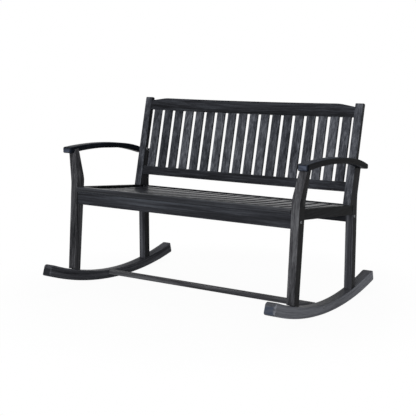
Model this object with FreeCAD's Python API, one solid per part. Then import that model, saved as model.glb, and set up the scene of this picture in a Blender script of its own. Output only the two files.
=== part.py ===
import FreeCAD, Part
import math
import os
from FreeCAD import Vector

# Slatted rocking bench. X runs along the seat, +Y points to the back, Z is up.
# The floor is Z = 0 and lengths are in mm. Parts are drawn for the +X end and mirrored.

# Overall size over the arms, over the runner tips and up to the post tops
WIDTH = 1257.3
DEPTH = 939.8
HEIGHT = 863.6

# Legs and posts share one plane at each end, set in from the outer face of the arms
ARM_OVER = 38.35
LEG_THICK = 36.0
LEG_OUT = WIDTH / 2 - ARM_OVER
LEG_IN = LEG_OUT - LEG_THICK
LEG_MID = LEG_IN + LEG_THICK / 2

# Joints
TENON = 12.0
TENON_STEP = 7.0
RAIL_TENON = 14.0
BACK_TENON = 20.0
SLACK = 0.15
EASE = 2.0
SPARE = 50.0

# Runner: two arcs that close up towards tips with rounded corners
RUNNER_THICK = 47.0
RUNNER_IN = LEG_MID - RUNNER_THICK / 2
RUNNER_OUT = LEG_MID + RUNNER_THICK / 2
SOLE_RADIUS = 1650.0
SOLE_Y = 79.6
CROWN_RADIUS = 1250.0
CROWN_Y = 75.0
CROWN_LOW = 39.0
FRONT_TIP = (9.0, 15.0)
REAR_TIP = (17.0, 22.0)
SOLE_CENTRE = Vector(SOLE_Y, SOLE_RADIUS, 0)
CROWN_CENTRE = Vector(CROWN_Y, CROWN_LOW + CROWN_RADIUS, 0)
LEG_SOCKET = 24.0

# Front leg, side view (y, z) and front view (x, z); the top leans out to the arm
FOOT_LOW = 20.0
FRONT_FOOT = (-305.8, -267.6)
FRONT_KNEE = ((-267.0, 507.0), (-219.0, 505.0))
FRONT_TOP = (-248.5, -221.5)
FLARE_LOW = (514.0, 500.0)
FLARE_TOP = (LEG_IN + 27.7, LEG_OUT + 27.0)
LEG_TOP = 650.0
BEND_RADIUS = 180.0
BACK_KNEE_RADIUS = 30.0

# Back rake, measured from the front face of the post at RAKE_Z
RAKE = math.atan(0.243)
RAKE_Y = 202.0
RAKE_Z = 433.0
POST_DEEP = 23.0
POST_LOW = -20.0
POST_TIP = 6.0
REAR_LEG_Y = 235.0
REAR_LEG_DEEP = 36.0
REAR_TOP_DEEP = 38.0
REAR_TOP = 606.0

# Seat side rail, its top falls towards the back
RAIL_THICK = 27.0
RAIL_OUT = LEG_OUT - 1.5
RAIL_TALL = 42.5
RAIL_Y = -225.0
RAIL_Z = 471.7
RAIL_FALL = 0.098

# Front of the seat
APRON_Y = (-266.0, -244.0)
APRON_Z = (396.0, 453.0)
NOSING_Y = (-276.0, -256.0)
NOSING_TOP = 477.0
NOSING_ROUND = 9.0

# Slats of the seat and of the back share one width and one spacing
SLATS = 18
SLAT_WIDE = 43.0
SLAT_GAP = (2 * LEG_IN - SLATS * SLAT_WIDE) / (SLATS + 1)
SLAT_PITCH = SLAT_WIDE + SLAT_GAP

# Seat slats: hollow along the top, flat underneath where they rest on a rail
SEAT_FRONT = (-256.0, 469.7)
SEAT_BACK = (245.0, 421.5)
SEAT_DISH = 5.5
TONGUE_LONG = 6.0
TONGUE_Z = (457.0, 464.0)
CROSS_RAIL_Y = (-20.0, 2.0)
CROSS_RAIL_Z = (402.0, 426.0)

# Rear rail: a step takes the slat ends, the top edge sheds water to the back
REAR_RAIL_Y = (235.0, 257.0)
REAR_RAIL_Z = (349.0, 425.8)
STEP_Z = 405.5
SHED = 0.25

# Back, measured up the rake (s) and in from the post face (n)
BACK_FACE = 2.5
BACK_THICK = 22.0
BACK_BOW = 22.0
BACK_RADIUS = (LEG_IN ** 2 + BACK_BOW ** 2) / (2 * BACK_BOW)
BACK_CENTRE = BACK_FACE + BACK_BOW - BACK_RADIUS
LOWER_S = (55.2, 97.4)
CREST_S = (383.4, 442.0)
CREST_END = 428.2
CREST_BEND = LEG_IN - 79.3
BACK_SLAT_FACE = 9.5
BACK_SLAT_THICK = 12.0
BACK_SLAT_EASE = 1.5
SLAT_SOCKET = 10.0
SOCKET_SPARE = 1.0

# Arm: three arcs on top, two below
ARM_IN_FRONT = LEG_OUT - 9.8
ARM_FRONT = -287.0
ARM_REAR = 293.0
ARM_TOP = 662.0
ARM_TOP_Y = -120.0
ARM_FRONT_RADIUS = 1064.0
ARM_BACK_RADIUS = 1780.0
ARM_TAIL_Y = 150.0
ARM_TAIL_RADIUS = 650.0
ARM_UNDER = 641.0
ARM_UNDER_Y = -110.0
UNDER_FRONT_RADIUS = 1607.0
UNDER_BACK_RADIUS = 1300.0
HEEL_LONG = 32.2
HEEL_RUN = ARM_REAR - HEEL_LONG - ARM_UNDER_Y
ARM_HEEL = ARM_UNDER - UNDER_BACK_RADIUS + math.sqrt(UNDER_BACK_RADIUS ** 2 - HEEL_RUN ** 2)
ARM_EASE = 3.5
ARM_CORNERS = (14.0, 10.0, 12.0)

# Stretcher between the runners
STRETCHER_Y = (-58.5, -33.5)
STRETCHER_Z = (24.0, 45.5)

# Frame bolts, one at each end of the apron, the rear rail and the stretcher.
# Bolts, nuts and their holes are drawn with flats all round.
BOLT = 6.0
BOLT_SIDES = 8
HEAD_SIDES = 16
NUT_SIDES = 12
BOLT_HEAD = 13.0
BOLT_HEAD_TALL = 3.0
BOLT_LONG = 75.0
NUT = 10.0
NUT_LONG = 16.0
NUT_INSET = 26.0
APRON_BOLT = (-255.0, 425.0)
REAR_BOLT = (246.0, 376.0)
STRETCHER_BOLT = (-46.0, 34.75)

# Short bolts that hold post to rear leg and arm to post
SHORT_LONG = 52.0
SHORT_S = (112.0, 150.0)
ARM_BOLTS = ((257.0, 607.0), (280.0, 596.0))

# Pads under the rear ends of the runners
PAD_Y = 366.0
PAD_LONG = 22.0
PAD_WIDE = 30.0
PAD_TALL = 5.0


def unit(vector):
    return Vector(vector).normalize()


def side(point, x=0.0):
    """A (y, z) pair seen from the side becomes a point at the given x."""
    return Vector(x, point.x, point.y)


def front(point):
    """An (x, z) pair seen from the front becomes a point in the plane y = 0."""
    return Vector(point.x, 0, point.y)


def flat(point):
    """An (x, y) pair seen from above stays in the plane z = 0."""
    return Vector(point.x, point.y, 0)


def raked(s, n, x=0.0):
    """A point s up the sloping back and n behind the face of the posts."""
    y = RAKE_Y + s * math.sin(RAKE) + n * math.cos(RAKE)
    z = RAKE_Z + s * math.cos(RAKE) - n * math.sin(RAKE)
    return Vector(x, y, z)


def along_back(point):
    """An (x, s) pair seen square to the back becomes a point on the face of the posts."""
    return raked(point.y, 0, point.x)


def block(xs, ys, zs):
    """Box between two values on each axis."""
    size = [xs[1] - xs[0], ys[1] - ys[0], zs[1] - zs[0]]
    return Part.makeBox(size[0], size[1], size[2], Vector(xs[0], ys[0], zs[0]))


def raked_block(xs, ss, ns):
    """Box that lies square to the sloping back."""
    corners = [raked(ss[0], ns[0], xs[0]), raked(ss[1], ns[0], xs[0])]
    corners += [raked(ss[1], ns[1], xs[0]), raked(ss[0], ns[1], xs[0])]
    face = Part.Face(Part.makePolygon(corners + corners[:1]))
    return face.extrude(Vector(xs[1] - xs[0], 0, 0))


def rod(start, direction, radius, length, sides):
    """Straight rod with flats all round, its corners at the given radius."""
    ahead = unit(direction)
    across = Vector(0, 1, 0) if abs(ahead.x) > 0.5 else Vector(1, 0, 0)
    up = ahead.cross(across)
    points = []
    for index in range(sides):
        angle = 2 * math.pi * (index + 0.5) / sides
        points.append(start + (across * math.cos(angle) + up * math.sin(angle)) * radius)
    return Part.Face(Part.makePolygon(points + points[:1])).extrude(ahead * length)


def grown(pair, amount):
    """The same span with the amount added at both ends."""
    return (pair[0] - amount, pair[1] + amount)


def centred(middle, width):
    return (middle - width / 2, middle + width / 2)


def mirrored(shape):
    return shape.mirror(Vector(0, 0, 0), Vector(1, 0, 0))


def eased(shape, radius, wanted):
    """Rounds the edges that pass the test."""
    return shape.makeFillet(radius, [edge for edge in shape.Edges if wanted(edge)])


def bevelled(shape, width, wanted):
    """Planes a narrow flat along the edges that pass the test."""
    return shape.makeChamfer(width, [edge for edge in shape.Edges if wanted(edge)])


def runs_along(edge, direction, least):
    """True for a straight edge of at least the given length that follows the direction."""
    if len(edge.Vertexes) < 2 or edge.Length < least:
        return False
    path = edge.Vertexes[1].Point - edge.Vertexes[0].Point
    return path.Length > edge.Length - 1e-6 and abs(unit(path).dot(direction)) > 0.9999


def in_side_face(edge, xs):
    """True for an edge that lies wholly in one of the two side faces."""
    box = edge.BoundBox
    if box.XLength > 1e-4:
        return False
    return min(abs(box.XMin - x) for x in xs) < 1e-3


def arc(centre, start, end, place):
    """The shorter arc about the centre from start to end."""
    radius = (start - centre).Length
    middle = centre + unit((start + end) * 0.5 - centre) * radius
    return Part.Arc(place(start), place(middle), place(end)).toShape()


def line(start, end, place):
    return Part.makeLine(place(start), place(end))


def outline(corners, radii, place):
    """Closed wire through flat corners, each rounded to its own radius."""
    points = [Vector(corner[0], corner[1], 0) for corner in corners]
    ends = []
    edges = []
    for index, here in enumerate(points):
        before = unit(points[index - 1] - here)
        after = unit(points[(index + 1) % len(points)] - here)
        radius = radii[index]
        if radius == 0:
            ends.append((here, here))
            continue
        half = before.getAngle(after) / 2
        step = radius / math.tan(half)
        start = here + before * step
        end = here + after * step
        centre = here + unit(before + after) * (radius / math.sin(half))
        edges.append(arc(centre, start, end, place))
        ends.append((start, end))
    for index, pair in enumerate(ends):
        start = ends[index - 1][1]
        if (pair[0] - start).Length > 1e-6:
            edges.append(line(start, pair[0], place))
    return Part.Wire(Part.__sortEdges__(edges))


def runner_tip(sign, radii):
    """Centres of the low and the high corner of one tip, and the way its end faces."""
    y = sign * (DEPTH / 2 - radii[0])
    fall = math.sqrt((SOLE_RADIUS - radii[0]) ** 2 - (y - SOLE_CENTRE.x) ** 2)
    low = Vector(y, SOLE_CENTRE.y - fall, 0)
    up = unit(SOLE_CENTRE - low)
    out = Vector(up.y, -up.x, 0) * sign
    start = low + out * (radii[0] - radii[1])
    away = start - CROWN_CENTRE
    ahead = away.dot(up)
    spread = away.dot(away) - (CROWN_RADIUS + radii[1]) ** 2
    high = start - up * (ahead + math.sqrt(ahead ** 2 - spread))
    return low, high, out


def runner_blank():
    """Runner before its sockets: sole arc, crown arc and a square end with rounded corners."""
    edges = []
    soles = []
    crowns = []
    for sign, radii in ((-1, FRONT_TIP), (1, REAR_TIP)):
        low, high, out = runner_tip(sign, radii)
        sole = SOLE_CENTRE + unit(low - SOLE_CENTRE) * SOLE_RADIUS
        crown = CROWN_CENTRE + unit(high - CROWN_CENTRE) * CROWN_RADIUS
        edges.append(arc(low, sole, low + out * radii[0], side))
        edges.append(line(low + out * radii[0], high + out * radii[1], side))
        edges.append(arc(high, high + out * radii[1], crown, side))
        soles.append(sole)
        crowns.append(crown)
    edges.append(arc(SOLE_CENTRE, soles[0], soles[1], side))
    edges.append(arc(CROWN_CENTRE, crowns[0], crowns[1], side))
    face = Part.Face(Part.Wire(Part.__sortEdges__(edges)))
    solid = face.extrude(Vector(RUNNER_THICK, 0, 0))
    solid.translate(Vector(RUNNER_IN, 0, 0))
    return bevelled(solid, EASE, lambda edge: in_side_face(edge, (RUNNER_IN, RUNNER_OUT)))


def crown_height(y):
    """Height of the top of the runner."""
    return CROWN_CENTRE.y - math.sqrt(CROWN_RADIUS ** 2 - (y - CROWN_CENTRE.x) ** 2)


def foot_tenon(ys, gap):
    """Stub under a leg; with a gap it is the socket that takes the stub."""
    low = crown_height((ys[0] + ys[1]) / 2) - LEG_SOCKET
    xs = grown(centred(LEG_MID, TENON), gap)
    deep = grown((ys[0] + TENON / 2, ys[1] - TENON / 2), gap)
    return block(xs, deep, (low - gap, low + LEG_SOCKET + TENON))


def front_foot_span():
    """Front and back of the front leg where it meets the runner."""
    rise = (crown_height(FRONT_FOOT[0]) - FOOT_LOW) / (FRONT_KNEE[0][1] - FOOT_LOW)
    fore = FRONT_FOOT[0] + rise * (FRONT_KNEE[0][0] - FRONT_FOOT[0])
    rear = FRONT_FOOT[1] + rise * (FRONT_KNEE[1][0] - FRONT_FOOT[1])
    return (fore, rear)


def rear_foot_span():
    return (REAR_LEG_Y, REAR_LEG_Y + REAR_LEG_DEEP)


def seated_on_runner(leg):
    """Trims a leg so that its foot follows the top of the runner."""
    start = Vector(LEG_IN - SPARE, CROWN_CENTRE.x, CROWN_CENTRE.y)
    return leg.common(Part.makeCylinder(CROWN_RADIUS, 4 * SPARE, start, Vector(1, 0, 0)))


def runner():
    """Runner with the sockets for both legs and the hole for the stretcher bolt."""
    solid = runner_blank()
    for span in (front_foot_span(), rear_foot_span()):
        solid = solid.cut(foot_tenon(span, SLACK))
    return solid.cut(bolt_hole(STRETCHER_BOLT, RUNNER_IN, RUNNER_THICK))


def bolt_hole(place, x, length):
    """Hole along X for a frame bolt."""
    start = Vector(x, place[0], place[1])
    return rod(start, Vector(1, 0, 0), BOLT / 2 + SLACK, length, BOLT_SIDES)


def rail_top(y):
    """Height of the top edge of a seat side rail."""
    return RAIL_Z - RAIL_FALL * (y - RAIL_Y)


def rail_profile(xs, ys, trim):
    """Length of side rail between two y values, trimmed in height at top and bottom."""
    corners = []
    for y in ys:
        corners.append((y, rail_top(y) - trim))
    for y in reversed(ys):
        corners.append((y, rail_top(y) - RAIL_TALL + trim))
    wire = outline(corners, (0, 0, 0, 0), side)
    solid = Part.Face(wire).extrude(Vector(xs[1] - xs[0], 0, 0))
    solid.translate(Vector(xs[0], 0, 0))
    return solid


def front_leg_back(z):
    """Back edge of the front leg below the knee."""
    share = (z - FOOT_LOW) / (FRONT_KNEE[1][1] - FOOT_LOW)
    return FRONT_FOOT[1] + share * (FRONT_KNEE[1][0] - FRONT_FOOT[1])


def rail_tenons(gap):
    """Stubs at both ends of the side rail; with a gap they are the sockets."""
    xs = grown(centred(RAIL_OUT - RAIL_THICK / 2, TENON), gap)
    fore = front_leg_back(RAIL_Z - RAIL_TALL)
    trim = TENON_STEP - gap
    first = rail_profile(xs, (fore - RAIL_TENON - gap, fore + RAIL_TENON), trim)
    last = rail_profile(xs, (REAR_LEG_Y - RAIL_TENON, REAR_LEG_Y + RAIL_TENON + gap), trim)
    return first, last


def front_leg_blank():
    """Front leg seen from the side and from the front, with a rounded knee."""
    seen = [(FRONT_FOOT[0], FOOT_LOW), FRONT_KNEE[0], (FRONT_TOP[0], LEG_TOP)]
    seen += [(FRONT_TOP[1], LEG_TOP), FRONT_KNEE[1], (FRONT_FOOT[1], FOOT_LOW)]
    radii = (0, BEND_RADIUS, 0, 0, BACK_KNEE_RADIUS, 0)
    profile = Part.Face(outline(seen, radii, side)).extrude(Vector(4 * SPARE, 0, 0))
    profile.translate(Vector(LEG_IN - SPARE, 0, 0))
    faced = [(LEG_IN, FOOT_LOW), (LEG_IN, FLARE_LOW[0]), (FLARE_TOP[0], LEG_TOP)]
    faced += [(FLARE_TOP[1], LEG_TOP), (LEG_OUT, FLARE_LOW[1]), (LEG_OUT, FOOT_LOW)]
    knee = BEND_RADIUS
    elevation = Part.Face(outline(faced, (0, knee, 0, 0, knee, 0), front))
    lath = elevation.extrude(Vector(0, 4 * SPARE, 0))
    lath.translate(Vector(0, FRONT_FOOT[0] - SPARE, 0))
    return profile.common(lath)


def arm_tenon(gap):
    """Stub on top of the front leg; with a gap it is the socket in the arm."""
    middle = (sum(FLARE_TOP) / 2, sum(FRONT_TOP) / 2)
    xs = grown(centred(middle[0], TENON), gap)
    ys = grown(centred(middle[1], TENON), gap)
    low = under_height(middle[1])
    return block(xs, ys, (low - TENON, low + TENON + gap))


def front_leg():
    """Front leg: foot seated on the runner, top seated under the arm."""
    solid = seated_on_runner(front_leg_blank()).cut(arm_blank())
    solid = solid.fuse([foot_tenon(front_foot_span(), 0), arm_tenon(0)]).removeSplitter()
    solid = solid.cut(rail_tenons(SLACK)[0])
    solid = solid.cut(apron_tenon(SLACK))
    return solid.cut(bolt_hole(APRON_BOLT, LEG_IN, LEG_THICK))


def rear_leg():
    """Rear leg: upright to the seat, then raked behind the post."""
    slope = math.tan(RAKE)
    post_back = RAKE_Y + POST_DEEP / math.cos(RAKE)
    bend = RAKE_Z + (REAR_LEG_Y - post_back) / slope
    top = post_back + slope * (REAR_TOP - RAKE_Z)
    back = REAR_LEG_Y + REAR_LEG_DEEP
    knee = RAKE_Z + (back - REAR_TOP_DEEP - post_back) / slope
    seen = [(REAR_LEG_Y, FOOT_LOW), (REAR_LEG_Y, bend), (top, REAR_TOP)]
    seen += [(top + REAR_TOP_DEEP, REAR_TOP), (back, knee), (back, FOOT_LOW)]
    radii = (0, 0, 0, POST_TIP, BEND_RADIUS, 0)
    profile = Part.Face(outline(seen, radii, side))
    solid = profile.extrude(Vector(LEG_THICK, 0, 0))
    solid.translate(Vector(LEG_IN, 0, 0))
    solid = seated_on_runner(solid)
    solid = solid.fuse(foot_tenon(rear_foot_span(), 0)).removeSplitter()
    solid = solid.cut(rail_tenons(SLACK)[1])
    solid = solid.cut(rear_rail_tenon(SLACK))
    solid = solid.cut(bolt_hole(REAR_BOLT, LEG_IN, LEG_THICK))
    for bolt in post_bolts(SLACK):
        solid = solid.cut(bolt)
    return solid.cut(short_bolt(arm_bolt_seat(ARM_BOLTS[1]), Vector(1, 0, 0), SLACK))


def back_post():
    """Raked post that stands on the side rail and leans against the rear leg."""
    rounding = POST_TIP * (math.cos(RAKE) + math.sin(RAKE) - 1)
    long = (HEIGHT - RAKE_Z + rounding) / math.cos(RAKE)
    slope = math.tan(RAKE)
    bend = RAKE_Z + (REAR_LEG_Y - RAKE_Y - POST_DEEP / math.cos(RAKE)) / slope
    points = [raked(POST_LOW, 0), raked(long, 0), raked(long, POST_DEEP)]
    seen = [(point.y, point.z) for point in points]
    seen += [(REAR_LEG_Y, bend), (REAR_LEG_Y, seen[0][1])]
    profile = Part.Face(outline(seen, (0, POST_TIP, POST_TIP, 0, 0), side))
    solid = profile.extrude(Vector(LEG_THICK, 0, 0))
    solid.translate(Vector(LEG_IN, 0, 0))
    below = rail_profile(grown((LEG_IN, LEG_OUT), SPARE), grown((RAKE_Y, REAR_LEG_Y), SPARE), 0)
    solid = solid.cut(below)
    solid = max(solid.Solids, key=lambda piece: piece.Volume)
    for span in (LOWER_S, (CREST_S[0], CREST_END)):
        solid = solid.cut(back_tenon(span, SLACK))
    for bolt in post_bolts(SLACK):
        solid = solid.cut(bolt)
    return solid.cut(short_bolt(arm_bolt_seat(ARM_BOLTS[0]), Vector(1, 0, 0), SLACK))


def back_tenon(span, gap):
    """Stub at the end of a back rail; with a gap it is the socket in the post."""
    xs = (LEG_IN - TENON, LEG_IN + BACK_TENON + gap)
    ns = grown(centred(BACK_FACE + BACK_THICK / 2, TENON), gap)
    return raked_block(xs, grown((span[0] + TENON_STEP, span[1] - TENON_STEP), gap), ns)


def seat_side_rail():
    """Side rail between the legs, with a socket for the cross rail inside."""
    fore = front_leg_back(RAIL_Z - RAIL_TALL)
    xs = (RAIL_OUT - RAIL_THICK, RAIL_OUT)
    solid = rail_profile(xs, (fore - TENON, REAR_LEG_Y), 0)
    solid = solid.cut(front_leg_blank())
    solid = max(solid.Solids, key=lambda piece: piece.Volume)
    solid = solid.fuse(list(rail_tenons(0))).removeSplitter()
    return solid.cut(cross_tenon(SLACK))


def apron_tenon(gap):
    """Stub at the end of the apron."""
    xs = (LEG_IN - TENON, LEG_IN + TENON / 2 + gap)
    ys = grown(centred(sum(APRON_Y) / 2, TENON), gap)
    return block(xs, ys, grown((APRON_Z[0] + TENON_STEP, APRON_Z[1] - TENON_STEP), gap))


def rear_rail_tenon(gap):
    """Stub at the end of the rear rail."""
    xs = (LEG_IN - TENON, LEG_IN + TENON / 2 + gap)
    ys = grown(centred(sum(REAR_RAIL_Y) / 2, TENON), gap)
    return block(xs, ys, grown((REAR_RAIL_Z[0] + TENON_STEP, STEP_Z - TENON_STEP), gap))


def cross_tenon(gap):
    """Stub at the end of the cross rail."""
    face = RAIL_OUT - RAIL_THICK
    xs = (face - TENON, face + TENON + gap)
    ys = grown(centred(sum(CROSS_RAIL_Y) / 2, TENON), gap)
    return block(xs, ys, grown((CROSS_RAIL_Z[0] + TENON_STEP, CROSS_RAIL_Z[1] - TENON_STEP), gap))


def both_ends(shape):
    return [shape, mirrored(shape)]


def nut_hole(end, place, direction, face):
    """Blind hole for a barrel nut, drilled in from the given face."""
    start = Vector(end - NUT_INSET, place[0], place[1])
    if direction.y:
        start.y = face
    else:
        start.z = face
    return rod(start, direction, NUT / 2, NUT_LONG, NUT_SIDES)


def along_bench(edge):
    """True for a long edge that runs from end to end of the bench."""
    return edge.BoundBox.XLength > LEG_IN


def board(half, ys, zs):
    """Board across the bench with its four long edges bevelled."""
    return bevelled(block((-half, half), ys, zs), EASE, along_bench)


def bolted_board(solid, tenon, half, place, direction, face, through):
    """Adds stub ends and drills a bolt hole and a barrel nut hole at each end."""
    solid = solid.fuse(both_ends(tenon)).removeSplitter() if tenon else solid
    reach = BOLT_LONG - through + TENON / 4
    drill = bolt_hole(place, half - reach, reach + TENON)
    nut = nut_hole(half, place, direction, face)
    return solid.cut(both_ends(drill) + both_ends(nut))


def front_apron():
    """Apron under the front of the seat."""
    solid = board(LEG_IN, APRON_Y, APRON_Z)
    return bolted_board(solid, apron_tenon(0), LEG_IN, APRON_BOLT,
                        Vector(0, -1, 0), APRON_Y[1], LEG_THICK)


def rear_seat_rail():
    """Rail under the back of the seat, stepped for the slat ends."""
    ledge = SEAT_BACK[0]
    fall = SHED * (REAR_RAIL_Y[1] - ledge)
    corners = [(REAR_RAIL_Y[0], REAR_RAIL_Z[0]), (REAR_RAIL_Y[1], REAR_RAIL_Z[0])]
    corners += [(REAR_RAIL_Y[1], REAR_RAIL_Z[1] - fall), (ledge, REAR_RAIL_Z[1])]
    corners += [(ledge, STEP_Z), (REAR_RAIL_Y[0], STEP_Z)]
    wire = outline(corners, (0, 0, 0, 0, 0, 0), side)
    solid = Part.Face(wire).extrude(Vector(2 * LEG_IN, 0, 0))
    solid.translate(Vector(-LEG_IN, 0, 0))

    def outer(edge):
        return along_bench(edge) and edge.BoundBox.ZMax < REAR_RAIL_Z[0] + 1

    solid = bevelled(solid, EASE, outer)
    return bolted_board(solid, rear_rail_tenon(0), LEG_IN, REAR_BOLT,
                        Vector(0, -1, 0), REAR_RAIL_Y[1], LEG_THICK)


def stretcher():
    """Stretcher between the two runners."""
    solid = board(RUNNER_IN, STRETCHER_Y, STRETCHER_Z)
    return bolted_board(solid, None, RUNNER_IN, STRETCHER_BOLT,
                        Vector(0, 0, 1), STRETCHER_Z[0], RUNNER_THICK)


def seat_cross_rail():
    """Hidden rail that carries the slats half way back."""
    face = RAIL_OUT - RAIL_THICK
    solid = block((-face, face), CROSS_RAIL_Y, CROSS_RAIL_Z)
    return solid.fuse(both_ends(cross_tenon(0))).removeSplitter()


def slat_places():
    """Centre lines of the slats, with a gap in the middle."""
    return [(index - (SLATS - 1) / 2) * SLAT_PITCH for index in range(SLATS)]


def slat_tongues(xs, gap):
    """Tongue at the front of a slat; with a gap it is the groove in the nosing."""
    ys = (NOSING_Y[1] - TONGUE_LONG - gap, NOSING_Y[1] + TONGUE_LONG)
    return block(xs, ys, grown(TONGUE_Z, gap))


def front_seat_board():
    """Rounded nosing on the apron, grooved at the back for the slats."""
    solid = block((-LEG_IN, LEG_IN), NOSING_Y, (APRON_Z[1], NOSING_TOP))

    def on_front(edge):
        return along_bench(edge) and abs(edge.BoundBox.YMin - NOSING_Y[0]) < 1e-3

    solid = eased(solid, NOSING_ROUND, on_front)
    return solid.cut(slat_tongues((-LEG_IN - 1, LEG_IN + 1), SLACK))


def seat_slat(x):
    """Seat slat, gently hollow on top and cut flat underneath over each rail."""
    start = Vector(SEAT_FRONT[0], SEAT_FRONT[1], 0)
    end = Vector(SEAT_BACK[0], SEAT_BACK[1], 0)
    middle = (start + end) * 0.5 - Vector(0, SEAT_DISH, 0)
    under = [(SEAT_BACK[0], STEP_Z), (REAR_RAIL_Y[0], STEP_Z)]
    under += [(CROSS_RAIL_Y[1], CROSS_RAIL_Z[1]), (CROSS_RAIL_Y[0], CROSS_RAIL_Z[1])]
    under += [(APRON_Y[1], APRON_Z[1]), (SEAT_FRONT[0], APRON_Z[1])]
    path = [end] + [Vector(y, z, 0) for y, z in under] + [start]
    edges = [Part.Arc(side(start), side(middle), side(end)).toShape()]
    edges += [line(path[index], path[index + 1], side) for index in range(len(path) - 1)]
    xs = centred(x, SLAT_WIDE)
    solid = Part.Face(Part.Wire(edges)).extrude(Vector(SLAT_WIDE, 0, 0))
    solid.translate(Vector(xs[0], 0, 0))

    def on_top(edge):
        return in_side_face(edge, xs) and edge.BoundBox.YLength > LEG_IN / 2 and (
            edge.BoundBox.ZMax > SEAT_FRONT[1] - 1)

    solid = bevelled(solid, EASE, on_top)
    return solid.fuse(slat_tongues(xs, 0)).removeSplitter()


def bow_depth(x, n):
    """Depth behind the post face of a line n deep in the back, which bows backwards."""
    return BACK_CENTRE + math.sqrt((BACK_RADIUS + n - BACK_FACE) ** 2 - x ** 2)


def bowed_board(ss, ns):
    """Board between the posts, bowed backwards in plan."""
    rows = [[raked(ss[0], bow_depth(x, n), x) for x in (-LEG_IN, 0, LEG_IN)] for n in ns]
    edges = [Part.Arc(row[0], row[1], row[2]).toShape() for row in rows]
    edges += [Part.makeLine(rows[0][end], rows[1][end]) for end in (0, 2)]
    face = Part.Face(Part.Wire(Part.__sortEdges__(edges)))
    return face.extrude(raked(ss[1], 0) - raked(ss[0], 0))


def round_the_bow(shape, x):
    """Carries a shape from the middle of the back along its bow to x."""
    up = unit(raked(1, 0) - raked(0, 0))
    shape.rotate(raked(0, BACK_CENTRE), up, -math.degrees(x / BACK_RADIUS))
    return shape


def back_slat_block(x, span, gap):
    """Plain back slat over a span up the rake; with a gap it is a socket."""
    first = BACK_SLAT_FACE + BACK_BOW
    deep = grown((first, first + BACK_SLAT_THICK), gap)
    return round_the_bow(raked_block(grown(centred(0, SLAT_WIDE), gap), span, deep), x)


def back_slat(x):
    """Back slat let into the crest rail and the lower rail."""
    span = (LOWER_S[1] - SLAT_SOCKET, CREST_S[0] + SLAT_SOCKET)
    up = unit(raked(1, 0) - raked(0, 0))
    solid = back_slat_block(x, span, 0)
    return bevelled(solid, BACK_SLAT_EASE, lambda edge: runs_along(edge, up, CREST_S[0] / 2))


def slat_sockets(s, spare):
    """Row of sockets for the back slats around the given height up the rake."""
    span = grown((s - SLAT_SOCKET, s + SLAT_SOCKET), spare)
    return [back_slat_block(x, span, SLACK) for x in slat_places()]


def lower_back_rail():
    """Lower rail of the back."""
    solid = bowed_board(LOWER_S, (BACK_FACE, BACK_FACE + BACK_THICK))
    solid = bevelled(solid, EASE, along_bench)
    solid = solid.fuse(both_ends(back_tenon(LOWER_S, 0))).removeSplitter()
    return solid.cut(slat_sockets(LOWER_S[1], 0))


def crest_rail():
    """Crest rail, level in the middle and sloping down near the posts."""
    corners = [(-LEG_IN, CREST_S[0]), (LEG_IN, CREST_S[0]), (LEG_IN, CREST_END)]
    corners += [(CREST_BEND, CREST_S[1]), (-CREST_BEND, CREST_S[1]), (-LEG_IN, CREST_END)]
    seen = Part.Face(outline(corners, (0, 0, 0, BEND_RADIUS, BEND_RADIUS, 0), along_back))
    blank = seen.extrude(raked(0, 2 * SPARE) - raked(0, 0))
    solid = blank.common(bowed_board(CREST_S, (BACK_FACE, BACK_FACE + BACK_THICK)))
    solid = bevelled(solid, EASE, along_bench)
    span = (CREST_S[0], CREST_END)
    solid = solid.fuse(both_ends(back_tenon(span, 0))).removeSplitter()
    return solid.cut(slat_sockets(CREST_S[0], SOCKET_SPARE))


def arm_top_height(y):
    """Top of the arm ahead of its tail."""
    radius = ARM_FRONT_RADIUS if y < ARM_TOP_Y else ARM_BACK_RADIUS
    return ARM_TOP - radius + math.sqrt(radius ** 2 - (y - ARM_TOP_Y) ** 2)


def under_height(y):
    """Underside of the arm ahead of its heel."""
    radius = UNDER_FRONT_RADIUS if y < ARM_UNDER_Y else UNDER_BACK_RADIUS
    return ARM_UNDER - radius + math.sqrt(radius ** 2 - (y - ARM_UNDER_Y) ** 2)


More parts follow.
